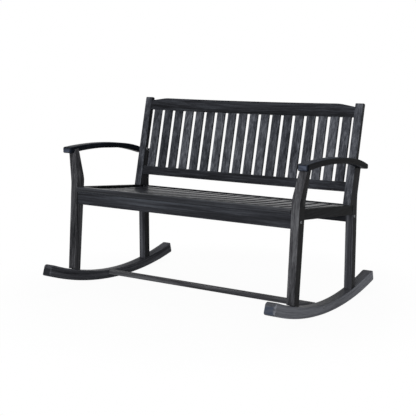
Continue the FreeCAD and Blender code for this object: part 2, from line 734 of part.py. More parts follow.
def arm_blank():
    """Arm before its socket: arched in side view, wider at the front in plan."""
    crown = Vector(ARM_TOP_Y, ARM_TOP, 0)
    tip = ARM_FRONT - TENON
    stern = ARM_REAR + TENON
    fore = Vector(tip, arm_top_height(tip), 0)
    tail = Vector(ARM_TAIL_Y, arm_top_height(ARM_TAIL_Y), 0)
    centre = crown - Vector(0, ARM_BACK_RADIUS, 0)
    tail_centre = tail + unit(centre - tail) * ARM_TAIL_RADIUS
    drop = math.sqrt(ARM_TAIL_RADIUS ** 2 - (stern - tail_centre.x) ** 2)
    end = Vector(stern, tail_centre.y + drop, 0)
    foot = Vector(stern, ARM_HEEL, 0)
    under = Vector(ARM_UNDER_Y, ARM_UNDER, 0)
    under_centre = under - Vector(0, UNDER_BACK_RADIUS, 0)
    heel = Vector(ARM_UNDER_Y + HEEL_RUN, ARM_HEEL, 0)
    lip = Vector(tip, under_height(tip), 0)
    edges = [arc(crown - Vector(0, ARM_FRONT_RADIUS, 0), fore, crown, side)]
    edges.append(arc(centre, crown, tail, side))
    edges.append(arc(tail_centre, tail, end, side))
    edges.append(line(end, foot, side))
    edges.append(line(foot, heel, side))
    edges.append(arc(under_centre, heel, under, side))
    edges.append(arc(under - Vector(0, UNDER_FRONT_RADIUS, 0), under, lip, side))
    edges.append(line(lip, fore, side))
    profile = Part.Face(Part.Wire(edges)).extrude(Vector(4 * SPARE, 0, 0))
    profile.translate(Vector(WIDTH / 2 - 2 * SPARE, 0, 0))
    corners = [(ARM_IN_FRONT, ARM_FRONT), (WIDTH / 2, ARM_FRONT), (WIDTH / 2, ARM_REAR)]
    corners += [(LEG_OUT, ARM_REAR), (LEG_OUT, RAKE_Y)]
    plan = Part.Face(outline(corners, ARM_CORNERS + (0, 0), flat))
    plan = plan.extrude(Vector(0, 0, 4 * SPARE))
    plan.translate(Vector(0, 0, ARM_HEEL - SPARE))
    return profile.common(plan)


def rim_test(solid, facing):
    """Test for the edges around all faces that look up (+1) or down (-1)."""
    edges = []
    for face in solid.Faces:
        low_u, high_u, low_v, high_v = face.ParameterRange
        normal = face.normalAt((low_u + high_u) / 2, (low_v + high_v) / 2)
        if normal.z * facing > 0.5:
            edges += face.Edges
    rim = [edge for edge in edges if sum(edge.isSame(other) for other in edges) == 1]
    return lambda edge: any(edge.isSame(other) for other in rim)


def arm():
    """Arm with the socket for the front leg and the holes for its two bolts."""
    solid = arm_blank()
    for facing in (1, -1):
        solid = bevelled(solid, ARM_EASE, rim_test(solid, facing))
    solid = solid.cut(arm_tenon(SLACK))
    for place in ARM_BOLTS:
        solid = solid.cut(short_bolt(arm_bolt_seat(place), Vector(1, 0, 0), SLACK))
    return solid


def frame_bolt(place, x):
    """Frame bolt along X, its head against the outer face of the wood."""
    into = Vector(-1, 0, 0)
    seat = Vector(x, place[0], place[1])
    return socket_bolt(seat, into, BOLT_LONG)


def socket_bolt(seat, into, long):
    """Bolt whose head sits on the seat; the shank points into the wood."""
    head = rod(seat, into * -1, BOLT_HEAD / 2, BOLT_HEAD_TALL, HEAD_SIDES)
    top = seat - into * BOLT_HEAD_TALL

    def rim(edge):
        return all(abs((vertex.Point - top).dot(into)) < 1e-3 for vertex in edge.Vertexes)

    head = bevelled(head, BOLT_HEAD_TALL / 2, rim)
    return head.fuse(rod(seat, into, BOLT / 2, long, BOLT_SIDES)).removeSplitter()


def short_bolt(seat, into, gap):
    """Short bolt; with a gap it is the hole the bolt passes through."""
    if gap:
        return rod(seat - into * TENON, into, BOLT / 2 + gap, SHORT_LONG + TENON + gap, BOLT_SIDES)
    return socket_bolt(seat, into, SHORT_LONG)


def arm_bolt_seat(place):
    return Vector(LEG_IN, place[0], place[1])


def post_bolts(gap):
    """Bolts from the back of the rear leg into the post."""
    deep = POST_DEEP + REAR_TOP_DEEP * math.cos(RAKE)
    into = unit(raked(0, 0) - raked(0, 1))
    return [short_bolt(raked(s, deep, LEG_MID), into, gap) for s in SHORT_S]


def frame_bolts():
    """The six frame bolts."""
    shapes = [frame_bolt(APRON_BOLT, LEG_OUT), frame_bolt(REAR_BOLT, LEG_OUT)]
    shapes.append(frame_bolt(STRETCHER_BOLT, RUNNER_OUT))
    return Part.Compound(shapes + [mirrored(shape) for shape in shapes])


def barrel_nut(end, place, direction, face):
    """Barrel nut flush with the face it was pushed in from, cross drilled for the bolt."""
    solid = nut_hole(end, place, direction, face)
    return solid.cut(bolt_hole(place, end - NUT_INSET - NUT, 2 * NUT))


def barrel_nuts():
    """The six barrel nuts."""
    shapes = [barrel_nut(LEG_IN, APRON_BOLT, Vector(0, -1, 0), APRON_Y[1])]
    shapes.append(barrel_nut(LEG_IN, REAR_BOLT, Vector(0, -1, 0), REAR_RAIL_Y[1]))
    shapes.append(barrel_nut(RUNNER_IN, STRETCHER_BOLT, Vector(0, 0, 1), STRETCHER_Z[0]))
    return Part.Compound(shapes + [mirrored(shape) for shape in shapes])


def back_bolts():
    """The eight short bolts at the posts."""
    shapes = post_bolts(0)
    shapes += [short_bolt(arm_bolt_seat(place), Vector(1, 0, 0), 0) for place in ARM_BOLTS]
    return Part.Compound(shapes + [mirrored(shape) for shape in shapes])


def rear_stop_pads():
    """Thin pads under the rear ends of the runners."""
    low = SOLE_CENTRE.y - math.sqrt(SOLE_RADIUS ** 2 - (PAD_Y - SOLE_Y) ** 2)
    tilt = math.degrees(math.asin((PAD_Y - SOLE_Y) / SOLE_RADIUS))
    solid = block(centred(LEG_MID, PAD_WIDE), centred(0, PAD_LONG), (-PAD_TALL, PAD_TALL))
    solid.rotate(Vector(LEG_MID, 0, 0), Vector(1, 0, 0), tilt)
    solid.translate(Vector(0, PAD_Y, low))
    solid = solid.cut(runner_blank())
    solid = max(solid.Solids, key=lambda piece: piece.CenterOfMass.z * -1)
    return Part.Compound([solid, mirrored(solid)])


def parts():
    """Every node of the bench and its shape."""
    ends = {"runner": runner, "front_leg": front_leg, "rear_leg": rear_leg}
    ends.update({"back_post": back_post, "seat_side_rail": seat_side_rail, "arm": arm})
    middle = [crest_rail, lower_back_rail, front_apron, front_seat_board, rear_seat_rail]
    middle += [seat_cross_rail, stretcher, frame_bolts, barrel_nuts, back_bolts]
    middle.append(rear_stop_pads)
    found = {}
    for name, make in ends.items():
        shape = make()
        found[name + "_right"] = shape
        found[name + "_left"] = mirrored(shape)
    for make in middle:
        found[make.__name__] = make()
    for index, x in enumerate(slat_places()):
        found["seat_slat_%02d" % (index + 1)] = seat_slat(x)
        found["back_slat_%02d" % (index + 1)] = back_slat(x)
    return found


os.makedirs("parts", exist_ok=True)
for name, shape in parts().items():
    shape.exportStep(os.path.join("parts", name + ".step"))
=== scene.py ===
import math

import bmesh
import bpy
from mathutils import Matrix, Vector


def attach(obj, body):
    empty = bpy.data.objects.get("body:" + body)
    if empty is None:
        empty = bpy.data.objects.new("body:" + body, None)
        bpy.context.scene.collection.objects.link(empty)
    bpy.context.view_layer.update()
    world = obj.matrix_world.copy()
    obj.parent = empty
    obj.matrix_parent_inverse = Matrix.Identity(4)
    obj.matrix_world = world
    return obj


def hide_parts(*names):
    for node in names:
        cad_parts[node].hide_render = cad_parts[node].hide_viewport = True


MM = 0.001

# Camera that took the photograph: its place in m, its turn and fall in degrees, and its
# focal length in pixels of the photograph
CAMERA_PLACE = (2.2085, -3.3599, 1.0648)
CAMERA_TURN = 33.49
CAMERA_FALL = 9.50
CAMERA_FOCUS_PX = 905.25
PHOTO_PX = 416
SENSOR_MM = 36.0

# Lamps: what they point at, and of each its place in m, its width and height in m and
# its power in W
LAMP_TARGET = (0, 0, 0.45)
LAMPS = {
    "front_lamp": ((0.9, -3.9, 1.3), (2.2, 1.8), 130),
    "top_lamp": ((-0.3, 0.6, 3.4), (2.4, 2.4), 60),
}

# How strongly the white room lights the bench, and how bright it is where it is seen
ROOM_LIGHT = 0.12
ROOM_SEEN = 1.0

PLAIN_WHITE = "#ffffff"

# Floor of matte paper: its side in m, its grey and roughness, how much of it is seen
# plain white at the bench, and the distances in m between which the white takes over
FLOOR_SIDE = 60
FLOOR_PAPER = "#d8d8d8"
FLOOR_ROUGH = 0.5
FLOOR_WHITE = 0.96
FLOOR_FADE = (0.7, 1.2)

# All lengths from here on are in mm, with x across the bench, y to its back and z up.
# Lean of the back from upright, (y, z) of its foot, and the pitch of its slats
BACK_LEAN = math.atan(0.243)
BACK_FOOT = (202.0, 433.0)
SLAT_PITCH = 60.61

# How far out from the middle of the bench its legs and runners stand
LEG_IN = 554.3
LEG_MID = 572.3
LEG_OUT = 590.3
RUNNER_IN = 548.8
RUNNER_OUT = 595.8

# Bolts and nuts stand as in the frame: (y, z) of the bolts that lie across the bench,
# how far up the back the post bolts are, and how deep post and leg are there together
APRON_BOLT = (-255.0, 425.0)
REAR_BOLT = (246.0, 376.0)
STRETCHER_BOLT = (-46.0, 34.75)
ARM_BOLTS = ((257.0, 607.0), (280.0, 596.0))
POST_BOLTS_UP = (112.0, 150.0)
POST_DEEP = 23.0
REAR_LEG_DEEP = 38.0
NUT_INSET = 26.0
APRON_BACK_Y = -244.0
REAR_RAIL_BACK_Y = 257.0
STRETCHER_LOW_Z = 24.0

# Radii, heights and lengths of the bolts, and the curve of their button heads as shares
# of the head's radius and height
SHANK = 3.0
SHANK_TIP = 2.1
HEAD = 6.5
HEAD_TALL = 3.0
HEAD_CURVE = ((1.0, 0.0), (1.0, 0.12), (0.95, 0.4), (0.84, 0.7), (0.68, 0.92), (0.5, 1.0))
SOCKET = 2.0
SOCKET_FLOOR = 1.05
SOCKET_POINT = (0.6, 0.9)
FRAME_BOLT_LONG = 75.0
BACK_BOLT_LONG = 52.0

# Barrel nut with a dished end, as (radius, height, corners) from its inner end
NUT_ROWS = (
    (4.6, -16.0, 0), (5.0, -15.6, 0), (5.0, -0.5, 0), (4.6, 0.0, 0),
    (3.0, 0.0, 0), (2.2, -0.9, 0), (0.5, -1.0, 0),
)

# Bends of the runner's sole, of its top and of the arm, as (y, z) of the middle and radius
RUNNER_BEND = (79.6, 1650.0, 1650.0)
CROWN_BEND = (75.0, 1289.0, 1250.0)
ARM_BEND = (-120.0, -760.0, 1420.0)

# Runner: the angles in degrees at which its sole ends, the radii of the low, the high,
# the inner and the outer corner of each tip, and how far the sole lifts to the front and
# the top drops to the front and to the rear, over which lengths
RUNNER_ENDS = (-19.6211, 13.8011)
RUNNER_FRONT = (13.0, 22.0, 4.0, 10.0)
RUNNER_REAR = (16.0, 19.0, 26.0, 9.0)
SOLE_LIFT = 3.0
CROWN_DROP = (8.0, 5.0)
TIP_LONG = (310.0, 225.0)
RUNNER_EASE = 2.0

# Arm: the arcs of its top and its underside as (up to y, crown y and z, radius), how much
# fuller it is below than a plain arch and between which y that ends, and its lowest z
ARM_TOP_ARCS = (
    (-120.0, (-120.0, 662.0), 2080.0),
    (150.0, (-120.0, 662.0), 1780.0),
    (400.0, (51.4, 648.9), 650.0),
)
ARM_UNDER_ARCS = (
    (-110.0, (-110.0, 641.0), 1607.0),
    (400.0, (-110.0, 641.0), 1300.0),
)
ARM_FULL = 4.0
ARM_FULL_Y = (0.0, 120.0)
ARM_HEEL = 583.0

# Its front end, its length and outer side, where its inner side starts, over which length
# that runs out to the leg, and the radii of its corners, as for the runner
ARM_FRONT = -282.0
ARM_LONG = 575.0
ARM_OUT = 628.6
ARM_IN_FRONT = 580.5
ARM_TAPER_LONG = 484.0
ARM_NOSE = (12.0, 13.0, 14.0, 12.0)
ARM_STERN = (3.0, 3.0, 3.0, 3.0)
ARM_EASE = 3.5

# Steps of the meshes: along a tip, along the board between the tips, round an arris and
# round a turned piece; and the edge angle in degrees from which they are shaded sharp
TIP_STEPS = 10
BOARD_STEPS = 48
ARRIS_STEPS = 3
TURNED_STEPS = 24
SHARP_ANGLE = 40

# Sanding of the frame's boards: its width, how many facets it has, and the angle in
# degrees from which an edge is sanded; points nearer than the last value are joined
SANDED = 0.5
SANDED_FACETS = 2
SANDED_ANGLE = 28
JOINED = 0.01

# Acacia boards, planed, sanded and rubbed with a charcoal stain. The stain lies dark in
# the open pores and lets paler streaks of grain through. End grain drinks more of it and
# goes darker, but on the arms it is drawn pale blue-grey as a painted highlight on their
# noses; the planed arrises lose some of it and go paler, and the satin surface
# throws back the white room where it is seen along its length.
# Length and width, detail, roughness and waver of the streaks, the bands and the pores.
# Real pores are 0.2 mm wide; they are drawn eight times as wide so that they show.
GRAIN_PATTERNS = (
    (330.0, 8.0, 5.0, 0.65, 0.35),
    (700.0, 34.0, 2.0, 0.5, 0.2),
    (42.0, 1.6, 3.0, 0.7, 0.0),
)

# How much bands, pores and the plank itself weigh against the streaks, the range of their
# sum that takes the stain from dark to pale, and where pore, body and streak lie in it
BAND_SHARE = 0.5
PORE_SHARE = 0.45
PLANK_SHARE = 0.16
TONE_RANGE = (0.72, 1.42)
STAIN_PLACES = (0.12, 0.48, 0.95)

# Growth rings lie 3 to 6 mm apart in the real wood. They are drawn at 20 mm so that they
# show in the end grain. The wave texture turns 20 radians in each unit of its length.
RING = 20.106
WAVE_RADIANS = 20.0
RING_WAVER = 2.5
RING_DETAIL = 2.0
RING_TINT = (0.55, 1.0)

# How squarely a face has to look along the grain to count as end grain
END_FACING = (0.6, 0.85)

# Worn arrises: how slanted they stand between two faces, which streaks are rubbed, and
# how pale the rubbing makes them
ARRIS_SLANT = (0.06, 0.22)
RUBBED_STREAKS = (0.4, 0.65)
RUBBED_SHARE = (0.05, 0.5)

# Relief of the grain, and the range of the pore pattern between pore and face
GRAIN_RELIEF = 0.4
GRAIN_DEEP = 0.3
PORE_RANGE = (0.3, 0.7)

# Painted shade on the faces that look one way and the other, as a share of the stain's colour:
# first on the broad faces, then on those that look the way of the board's sides. Shares
# below 1 darken faces that lie in shade, in place of that shade.
EVEN = (1.0, 1.0)
# Painted shade on the side faces of the right arm, the right front leg, the rear legs, the posts
# and the back slats
PAINTED_SHADE_SIDES = (1.0, 0.25)
# Painted shade on the top of the right runner, which lies in the seat's shade
PAINTED_SHADE_TOPS = (0.28, 1.0)

# Index of the finish, and its roughness in and between the pores. The open-pored boards
# are hardly a mirror, far less than lacquered wood; hands and sitting have rubbed the
# front board and the slats of the seat smoother.
OPEN_PORED = (1.09, 0.50, 0.32)
RUBBED = (1.17, 0.38, 0.25)

# Dark pore, body, pale streak and end grain of each board's stain
SLATE = ("#202226", "#44464c", "#787b82", "#25272b")
CHARCOAL = ("#161719", "#292a2e", "#484b51", "#1a1b1e")
COAL = ("#0e0f11", "#1d1e22", "#36383e", "#141518")
PITCH = ("#090a0b", "#131416", "#26282c", "#0e0f10")
# INK's pale blue-grey end grain is a painted highlight on the noses of the arms
INK = ("#0a0c10", "#15181e", "#2e3440", "#4a505e")
IRON = ("#1c1d1f", "#3f3f42", "#6c6d70", "#26272a")
SMOKE = ("#222327", "#45464b", "#707279", "#2a2b2e")
# PAINTED_LIGHT_ASH is pale to paint the light that falls low from the right on the right runner
PAINTED_LIGHT_ASH = ("#505258", "#808289", "#a4a7b0", "#3c424e")

# Way of the grain, as the turn of a board from lying along X
ALONG = (0.0, 0.0, 0.0)
ACROSS = (0.0, 0.0, math.pi / 2)
RISING = (0.0, -math.pi / 2, 0.0)
LEANING = (-BACK_LEAN, -math.pi / 2, 0.0)

# Way in which the side faces of a board look
SIDEWAYS = (1.0, 0.0, 0.0)
UPWARDS = (0.0, 0.0, 1.0)
UP_THE_BACK = (0.0, math.sin(BACK_LEAN), math.cos(BACK_LEAN))

# Planks that boards of one finish come from: one for each end of the bench, one for each
# slat, or a single one for a whole board
END_PLANK = 4000.0
SLAT_PLANK = SLAT_PITCH
WHOLE_PLANK = None

# Boards of each material: what their names start with, their stain, finish and painted
# shade of their faces, the way of their grain and side faces, their plank and their bend
BOARDS = {
    # The right runner's pale stain paints light on its sides, and the left runner's darker SMOKE
    # paints the bench's shade on it
    "stained_acacia_runner":
        (("runner_right",), PAINTED_LIGHT_ASH, OPEN_PORED, PAINTED_SHADE_TOPS, ACROSS, SIDEWAYS, END_PLANK, RUNNER_BEND),
    "stained_acacia_left_runner":
        (("runner_left",), SMOKE, OPEN_PORED, EVEN, ACROSS, SIDEWAYS, END_PLANK, RUNNER_BEND),
    "stained_acacia_arm":
        (("arm_right",), INK, OPEN_PORED, PAINTED_SHADE_SIDES, ACROSS, SIDEWAYS, END_PLANK, ARM_BEND),
    "stained_acacia_left_arm":
        (("arm_left",), INK, OPEN_PORED, EVEN, ACROSS, SIDEWAYS, END_PLANK, ARM_BEND),
    "stained_acacia_seat_slat":
        (("seat_slat",), COAL, RUBBED, EVEN, ACROSS, SIDEWAYS, SLAT_PLANK, None),
    "stained_acacia_side_rail":
        (("seat_side_rail",), PITCH, OPEN_PORED, EVEN, ACROSS, SIDEWAYS, END_PLANK, None),
    "stained_acacia_front_leg":
        (("front_leg_right",), IRON, OPEN_PORED, PAINTED_SHADE_SIDES, RISING, SIDEWAYS, END_PLANK, None),
    "stained_acacia_left_front_leg":
        (("front_leg_left",), IRON, OPEN_PORED, EVEN, RISING, SIDEWAYS, END_PLANK, None),
    "stained_acacia_rear_leg":
        (("rear_leg",), SMOKE, OPEN_PORED, PAINTED_SHADE_SIDES, RISING, SIDEWAYS, END_PLANK, None),
    "stained_acacia_post":
        (("back_post",), SLATE, OPEN_PORED, PAINTED_SHADE_SIDES, LEANING, SIDEWAYS, END_PLANK, None),
    "stained_acacia_back_slat":
        (("back_slat",), SLATE, OPEN_PORED, PAINTED_SHADE_SIDES, LEANING, SIDEWAYS, SLAT_PLANK, None),
    "stained_acacia_crest":
        (("crest_rail",), CHARCOAL, OPEN_PORED, EVEN, ALONG, UP_THE_BACK, WHOLE_PLANK, None),
    "stained_acacia_lower_back_rail":
        (("lower_back_rail",), CHARCOAL, OPEN_PORED, EVEN, ALONG, UP_THE_BACK, WHOLE_PLANK, None),
    "stained_acacia_apron":
        (("front_apron", "rear_seat_rail", "seat_cross_rail"),
         CHARCOAL, OPEN_PORED, EVEN, ALONG, UPWARDS, WHOLE_PLANK, None),
    "stained_acacia_front_board":
        (("front_seat_board",), CHARCOAL, RUBBED, EVEN, ALONG, UPWARDS, WHOLE_PLANK, None),
    "stained_acacia_stretcher":
        (("stretcher",), IRON, OPEN_PORED, EVEN, ALONG, UPWARDS, WHOLE_PLANK, None),
}

# Zinc-plated steel of bolts and nuts, plated bright and dulled since: satin mid grey
# with a fine mottle. The crystals of real plating are too fine to see and are drawn at
# 1.2 mm, the clouds of tarnish over them at 3 mm.
ZINC = ("#45474a", "#6a6c6f")
ZINC_ROUGH = (0.28, 0.46)
ZINC_CRYSTAL = 1.2
ZINC_CLOUD = 3.0
CLOUD_DETAIL = 3.0
ZINC_RELIEF = 0.3
ZINC_DEEP = 0.05

# Moulded black rubber of the pads: dull, finely pitted, greyed in scuffs of 9 mm where it
# is rubbed. Real pits are 0.1 mm wide and are drawn at 0.8 mm so that they show.
RUBBER = ("#151515", "#2c2c2b")
RUBBER_ROUGH = (0.7, 0.9)
RUBBER_PIT = 0.8
PIT_DETAIL = 3.0
RUBBER_SCUFF = 9.0
SCUFF_DETAIL = 4.0
RUBBER_RELIEF = 0.4
RUBBER_DEEP = 0.15


def srgb(code):
    """Linear colour of an sRGB hex code."""
    parts = [int(code[place:place + 2], 16) / 255 for place in (1, 3, 5)]
    curve = [part / 12.92 if part <= 0.04045 else ((part + 0.055) / 1.055) ** 2.4 for part in parts]
    return (*curve, 1.0)


def add_node(tree, kind, settings=None, values=None, links=None):
    """Adds a node; values and links give its inputs numbers and other nodes' outputs."""
    node = tree.nodes.new("ShaderNode" + kind)
    for name, value in (settings or {}).items():
        setattr(node, name, value)
    for name, value in (values or {}).items():
        node.inputs[name].default_value = value
    for name, source in (links or {}).items():
        tree.links.new(source, node.inputs[name])
    return node


def empty_tree(owner):
    """Cleared node tree of a material or of the world."""
    owner.use_nodes = True
    owner.node_tree.nodes.clear()
    return owner.node_tree


def new_material(name):
    """Material that has only its surface shader, joined to the output."""
    material = bpy.data.materials.new(name)
    tree = empty_tree(material)
    shader = add_node(tree, "BsdfPrincipled")
    add_node(tree, "OutputMaterial", links={"Surface": shader.outputs["BSDF"]})
    return material, tree, shader


def place_round_bend(tree, split, bend):
    """Place in a bent board: along its bend, across it and out from the bend's middle."""
    middle_y, middle_z, radius = bend
    ahead, level = [
        add_node(tree, "Math", {"operation": "SUBTRACT"}, {1: middle * MM},
                 {0: split.outputs[axis]}).outputs["Value"]
        for axis, middle in (("Y", middle_y), ("Z", middle_z))]
    aloft = add_node(tree, "Math", {"operation": "ABSOLUTE"}, None, {0: level}).outputs["Value"]
    angle = add_node(tree, "Math", {"operation": "ARCTAN2"}, None,
                     {0: ahead, 1: aloft}).outputs["Value"]
    along = add_node(tree, "Math", {"operation": "MULTIPLY"}, {1: radius * MM},
                     {0: angle}).outputs["Value"]
    flat = add_node(tree, "CombineXYZ", links={"X": ahead, "Y": aloft}).outputs["Vector"]
    reach = add_node(tree, "VectorMath", {"operation": "LENGTH"}, None,
                     {0: flat}).outputs["Value"]
    return add_node(tree, "CombineXYZ",
                    links={"X": along, "Y": split.outputs["X"], "Z": reach}).outputs["Vector"]


def stained_acacia(name, stain, finish, sides, turn, side, plank, bend):
    """Charcoal-stained acacia, with its grain along the turned X axis."""
    pore_stain, body_stain, streak_stain, end_stain = [srgb(code) for code in stain]
    index, pore_rough, face_rough = finish
    material, tree, shader = new_material(name)
    place = add_node(tree, "TexCoord").outputs["Object"]
    facing = add_node(tree, "NewGeometry").outputs["Normal"]
    turned, turned_facing = [
        add_node(tree, "VectorRotate", {"rotation_type": "EULER_XYZ", "invert": True},
                 {"Rotation": turn}, {"Vector": source}).outputs["Vector"]
        for source in (place, facing)]
    split = add_node(tree, "SeparateXYZ", links={"Vector": place})
    if bend:
        turned = place_round_bend(tree, split, bend)

    # The grain starts elsewhere in each plank
    luck = add_node(tree, "TexWhiteNoise", {"noise_dimensions": "1D"}, {"W": 0.0})
    if plank:
        cut = add_node(tree, "Math", {"operation": "SNAP"}, {1: plank * MM},
                       {0: split.outputs["X"]}).outputs["Value"]
        tree.links.new(cut, luck.inputs["W"])
    moved = add_node(tree, "VectorMath", {"operation": "ADD"}, None,
                     {0: turned, 1: luck.outputs["Color"]}).outputs["Vector"]

    patterns = []
    for long, wide, detail, roughness, waver in GRAIN_PATTERNS:
        scale = (1 / (long * MM), 1 / (wide * MM), 1 / (wide * MM))
        spread = add_node(tree, "Mapping", None, {"Scale": scale},
                          {"Vector": moved}).outputs["Vector"]
        settings = {"Scale": 1.0, "Detail": detail, "Roughness": roughness, "Distortion": waver}
        patterns.append(add_node(tree, "TexNoise", None, settings,
                                 {"Vector": spread}).outputs["Fac"])
    streaks, bands, pores = patterns

    banded = add_node(tree, "Math", {"operation": "MULTIPLY_ADD"}, {1: BAND_SHARE},
                      {0: bands, 2: streaks}).outputs["Value"]
    pored = add_node(tree, "Math", {"operation": "MULTIPLY_ADD"}, {1: PORE_SHARE},
                     {0: pores, 2: banded}).outputs["Value"]
    level = add_node(tree, "Math", {"operation": "MULTIPLY_ADD"}, {1: PLANK_SHARE},
                     {0: luck.outputs["Value"], 2: pored}).outputs["Value"]
    tone = add_node(tree, "MapRange", None, {"From Min": TONE_RANGE[0], "From Max": TONE_RANGE[1]},
                    {"Value": level}).outputs["Result"]
    ramp = add_node(tree, "ValToRGB", links={"Fac": tone})
    pore, streak = ramp.color_ramp.elements
    pore.position, pore.color = STAIN_PLACES[0], pore_stain
    streak.position, streak.color = STAIN_PLACES[2], streak_stain
    ramp.color_ramp.elements.new(STAIN_PLACES[1]).color = body_stain

    # End grain, with its rings, where the surface looks along the board
    ahead = add_node(tree, "SeparateXYZ", links={"Vector": turned_facing}).outputs["X"]
    square = add_node(tree, "Math", {"operation": "MULTIPLY"}, None,
                      {0: ahead, 1: ahead}).outputs["Value"]
    is_end = add_node(tree, "MapRange", None,
                      {"From Min": END_FACING[0], "From Max": END_FACING[1]},
                      {"Value": square}).outputs["Result"]
    ring_scale = 2 * math.pi / (WAVE_RADIANS * RING * MM)
    rings = add_node(tree, "TexWave", {"wave_type": "RINGS", "rings_direction": "X"},
                     {"Scale": ring_scale, "Distortion": RING_WAVER, "Detail": RING_DETAIL},
                     {"Vector": moved}).outputs["Fac"]
    ring_share = add_node(tree, "MapRange", None, {"To Min": RING_TINT[0], "To Max": RING_TINT[1]},
                          {"Value": rings}).outputs["Result"]
    end_tint = add_node(tree, "Mix", {"data_type": "RGBA"}, {6: pore_stain, 7: end_stain},
                        {"Factor": ring_share}).outputs[2]
    ended = add_node(tree, "Mix", {"data_type": "RGBA"}, None,
                     {"Factor": is_end, 6: ramp.outputs["Color"], 7: end_tint}).outputs[2]

    # Wear: the arrises stand slanted between two faces and are rubbed paler in patches
    lean = add_node(tree, "VectorMath", {"operation": "DOT_PRODUCT"}, {1: side},
                    {0: facing}).outputs["Value"]
    sideward = add_node(tree, "Math", {"operation": "MULTIPLY"}, None,
                        {0: lean, 1: lean}).outputs["Value"]
    rest = add_node(tree, "Math", {"operation": "SUBTRACT"}, {0: 1.0},
                    {1: sideward}).outputs["Value"]
    slant = add_node(tree, "Math", {"operation": "MULTIPLY"}, None,
                     {0: sideward, 1: rest}).outputs["Value"]
    arris = add_node(tree, "MapRange", None,
                     {"From Min": ARRIS_SLANT[0], "From Max": ARRIS_SLANT[1]},
                     {"Value": slant}).outputs["Result"]
    rubbed = add_node(tree, "MapRange", None,
                      {"From Min": RUBBED_STREAKS[0], "From Max": RUBBED_STREAKS[1],
                       "To Min": RUBBED_SHARE[0], "To Max": RUBBED_SHARE[1]},
                      {"Value": streaks}).outputs["Result"]
    wear = add_node(tree, "Math", {"operation": "MULTIPLY"}, None,
                    {0: arris, 1: rubbed}).outputs["Value"]
    worn = add_node(tree, "Mix", {"data_type": "RGBA"}, {7: streak_stain},
                    {"Factor": wear, 6: ended}).outputs[2]

    # Painted shade: the shares for broad and side faces darken them, while end grain keeps its full
    # colour
    share = add_node(tree, "MapRange", None, {"To Min": sides[0], "To Max": sides[1]},
                     {"Value": sideward}).outputs["Result"]
    shown = add_node(tree, "Math", {"operation": "MAXIMUM"}, None,
                     {0: share, 1: is_end}).outputs["Value"]
    colour = add_node(tree, "VectorMath", {"operation": "SCALE"}, None,
                      {"Vector": worn, "Scale": shown}).outputs["Vector"]
    rough = add_node(tree, "MapRange", None,
                     {"From Min": PORE_RANGE[0], "From Max": PORE_RANGE[1],
                      "To Min": pore_rough, "To Max": face_rough},
                     {"Value": pores}).outputs["Result"]
    relief = add_node(tree, "Bump", None, {"Strength": GRAIN_RELIEF, "Distance": GRAIN_DEEP * MM},
                      {"Height": pored}).outputs["Normal"]
    shader.inputs["IOR"].default_value = index
    tree.links.new(colour, shader.inputs["Base Color"])
    tree.links.new(rough, shader.inputs["Roughness"])
    tree.links.new(relief, shader.inputs["Normal"])
    return material


def zinc_plated_steel():
    """Steel of bolts and nuts: crystals in its sheen, clouds of tarnish in its grey."""
    material, tree, shader = new_material("zinc_plated_steel")
    place = add_node(tree, "TexCoord").outputs["Object"]
    crystals = add_node(tree, "TexVoronoi", None, {"Scale": 1 / (ZINC_CRYSTAL * MM)},
                        {"Vector": place}).outputs["Distance"]
    clouds = add_node(tree, "TexNoise", None,
                      {"Scale": 1 / (ZINC_CLOUD * MM), "Detail": CLOUD_DETAIL},
                      {"Vector": place}).outputs["Fac"]
    tint = add_node(tree, "Mix", {"data_type": "RGBA"}, {6: srgb(ZINC[0]), 7: srgb(ZINC[1])},
                    {"Factor": clouds}).outputs[2]
    rough = add_node(tree, "MapRange", None, {"To Min": ZINC_ROUGH[0], "To Max": ZINC_ROUGH[1]},
                     {"Value": crystals}).outputs["Result"]
    relief = add_node(tree, "Bump", None, {"Strength": ZINC_RELIEF, "Distance": ZINC_DEEP * MM},
                      {"Height": clouds}).outputs["Normal"]
    shader.inputs["Metallic"].default_value = 1.0
    tree.links.new(tint, shader.inputs["Base Color"])
    tree.links.new(rough, shader.inputs["Roughness"])
    tree.links.new(relief, shader.inputs["Normal"])
    return material


def moulded_rubber():
    """Rubber of the pads: pits in its relief, scuffs in its grey and its dullness."""
    material, tree, shader = new_material("moulded_rubber")
    place = add_node(tree, "TexCoord").outputs["Object"]
    pits = add_node(tree, "TexNoise", None,
                    {"Scale": 1 / (RUBBER_PIT * MM), "Detail": PIT_DETAIL},
                    {"Vector": place}).outputs["Fac"]
    scuffs = add_node(tree, "TexNoise", None,
                      {"Scale": 1 / (RUBBER_SCUFF * MM), "Detail": SCUFF_DETAIL},
                      {"Vector": place}).outputs["Fac"]
    tint = add_node(tree, "Mix", {"data_type": "RGBA"}, {6: srgb(RUBBER[0]), 7: srgb(RUBBER[1])},
                    {"Factor": scuffs}).outputs[2]
    rough = add_node(tree, "MapRange", None,
                     {"To Min": RUBBER_ROUGH[0], "To Max": RUBBER_ROUGH[1]},
                     {"Value": scuffs}).outputs["Result"]
    relief = add_node(tree, "Bump", None,
                      {"Strength": RUBBER_RELIEF, "Distance": RUBBER_DEEP * MM},
                      {"Height": pits}).outputs["Normal"]
    tree.links.new(tint, shader.inputs["Base Color"])
    tree.links.new(rough, shader.inputs["Roughness"])
    tree.links.new(relief, shader.inputs["Normal"])
    return material


def dress(nodes):
    """Gives the boards of the frame their stained acacia and the pads their rubber."""
    kinds = {}
    for name, (starts, *recipe) in BOARDS.items():
        wood = stained_acacia(name, *recipe)
        kinds.update({start: wood for start in starts})
    kinds["rear_stop_pads"] = moulded_rubber()
    for name, node in nodes.items():
        for start, material in kinds.items():
            if name.startswith(start):
                for slot in node.material_slots:
                    slot.material = material


